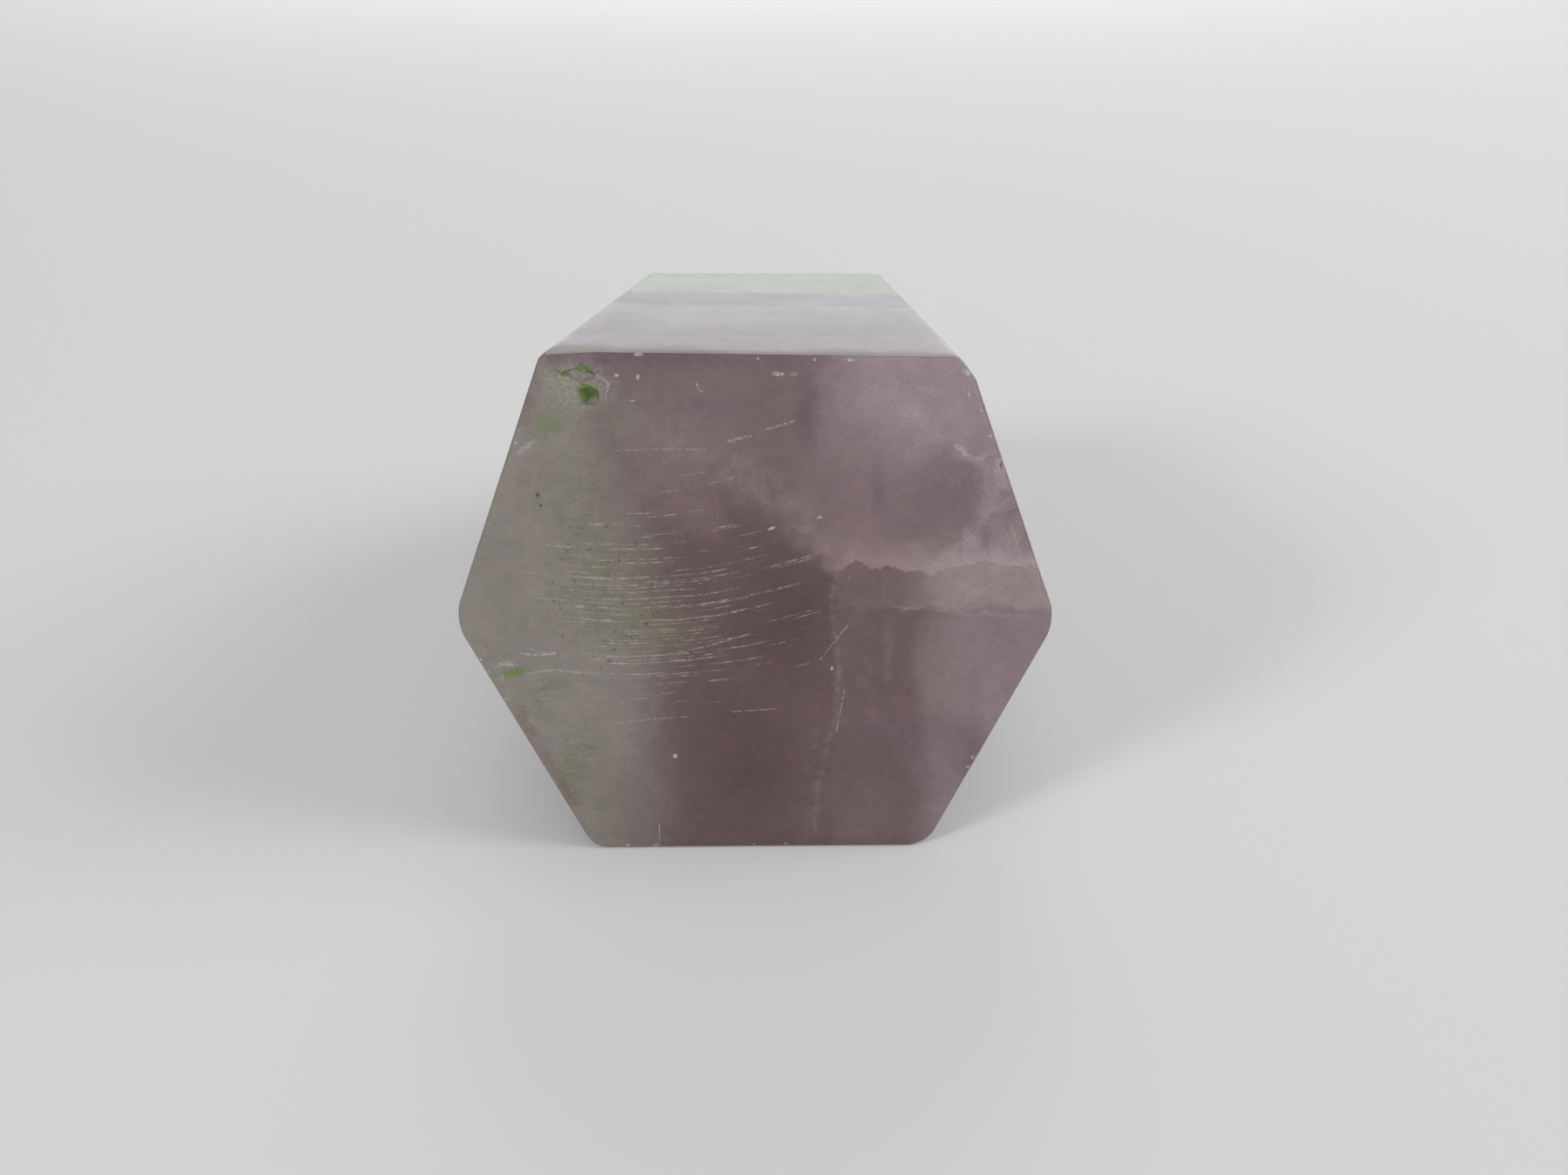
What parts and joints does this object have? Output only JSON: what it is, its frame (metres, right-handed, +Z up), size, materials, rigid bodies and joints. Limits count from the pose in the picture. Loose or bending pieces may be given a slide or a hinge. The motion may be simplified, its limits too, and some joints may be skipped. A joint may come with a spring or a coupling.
{
  "type": "fluorite stone",
  "caption": "Polished tapered six-sided fluorite tower with a blunt point and a flat ground foot, lying on one long side.",
  "frame": {"origin": "on the ground, under the middle of the lying stone's box", "axes": "+Y along the ground from the ground foot to the point, +X to the right seen from the foot, +Z up"},
  "size_m": [0.0374, 0.054, 0.0351],
  "materials": {
    "fluorite": "polished sides and satin ground foot, cloudy lavender grey with green and maroon zones, mint green towards the point"
  },
  "bodies": {
    "root": {"fluorite_tower": "fluorite"}
  },
  "joints": []
}
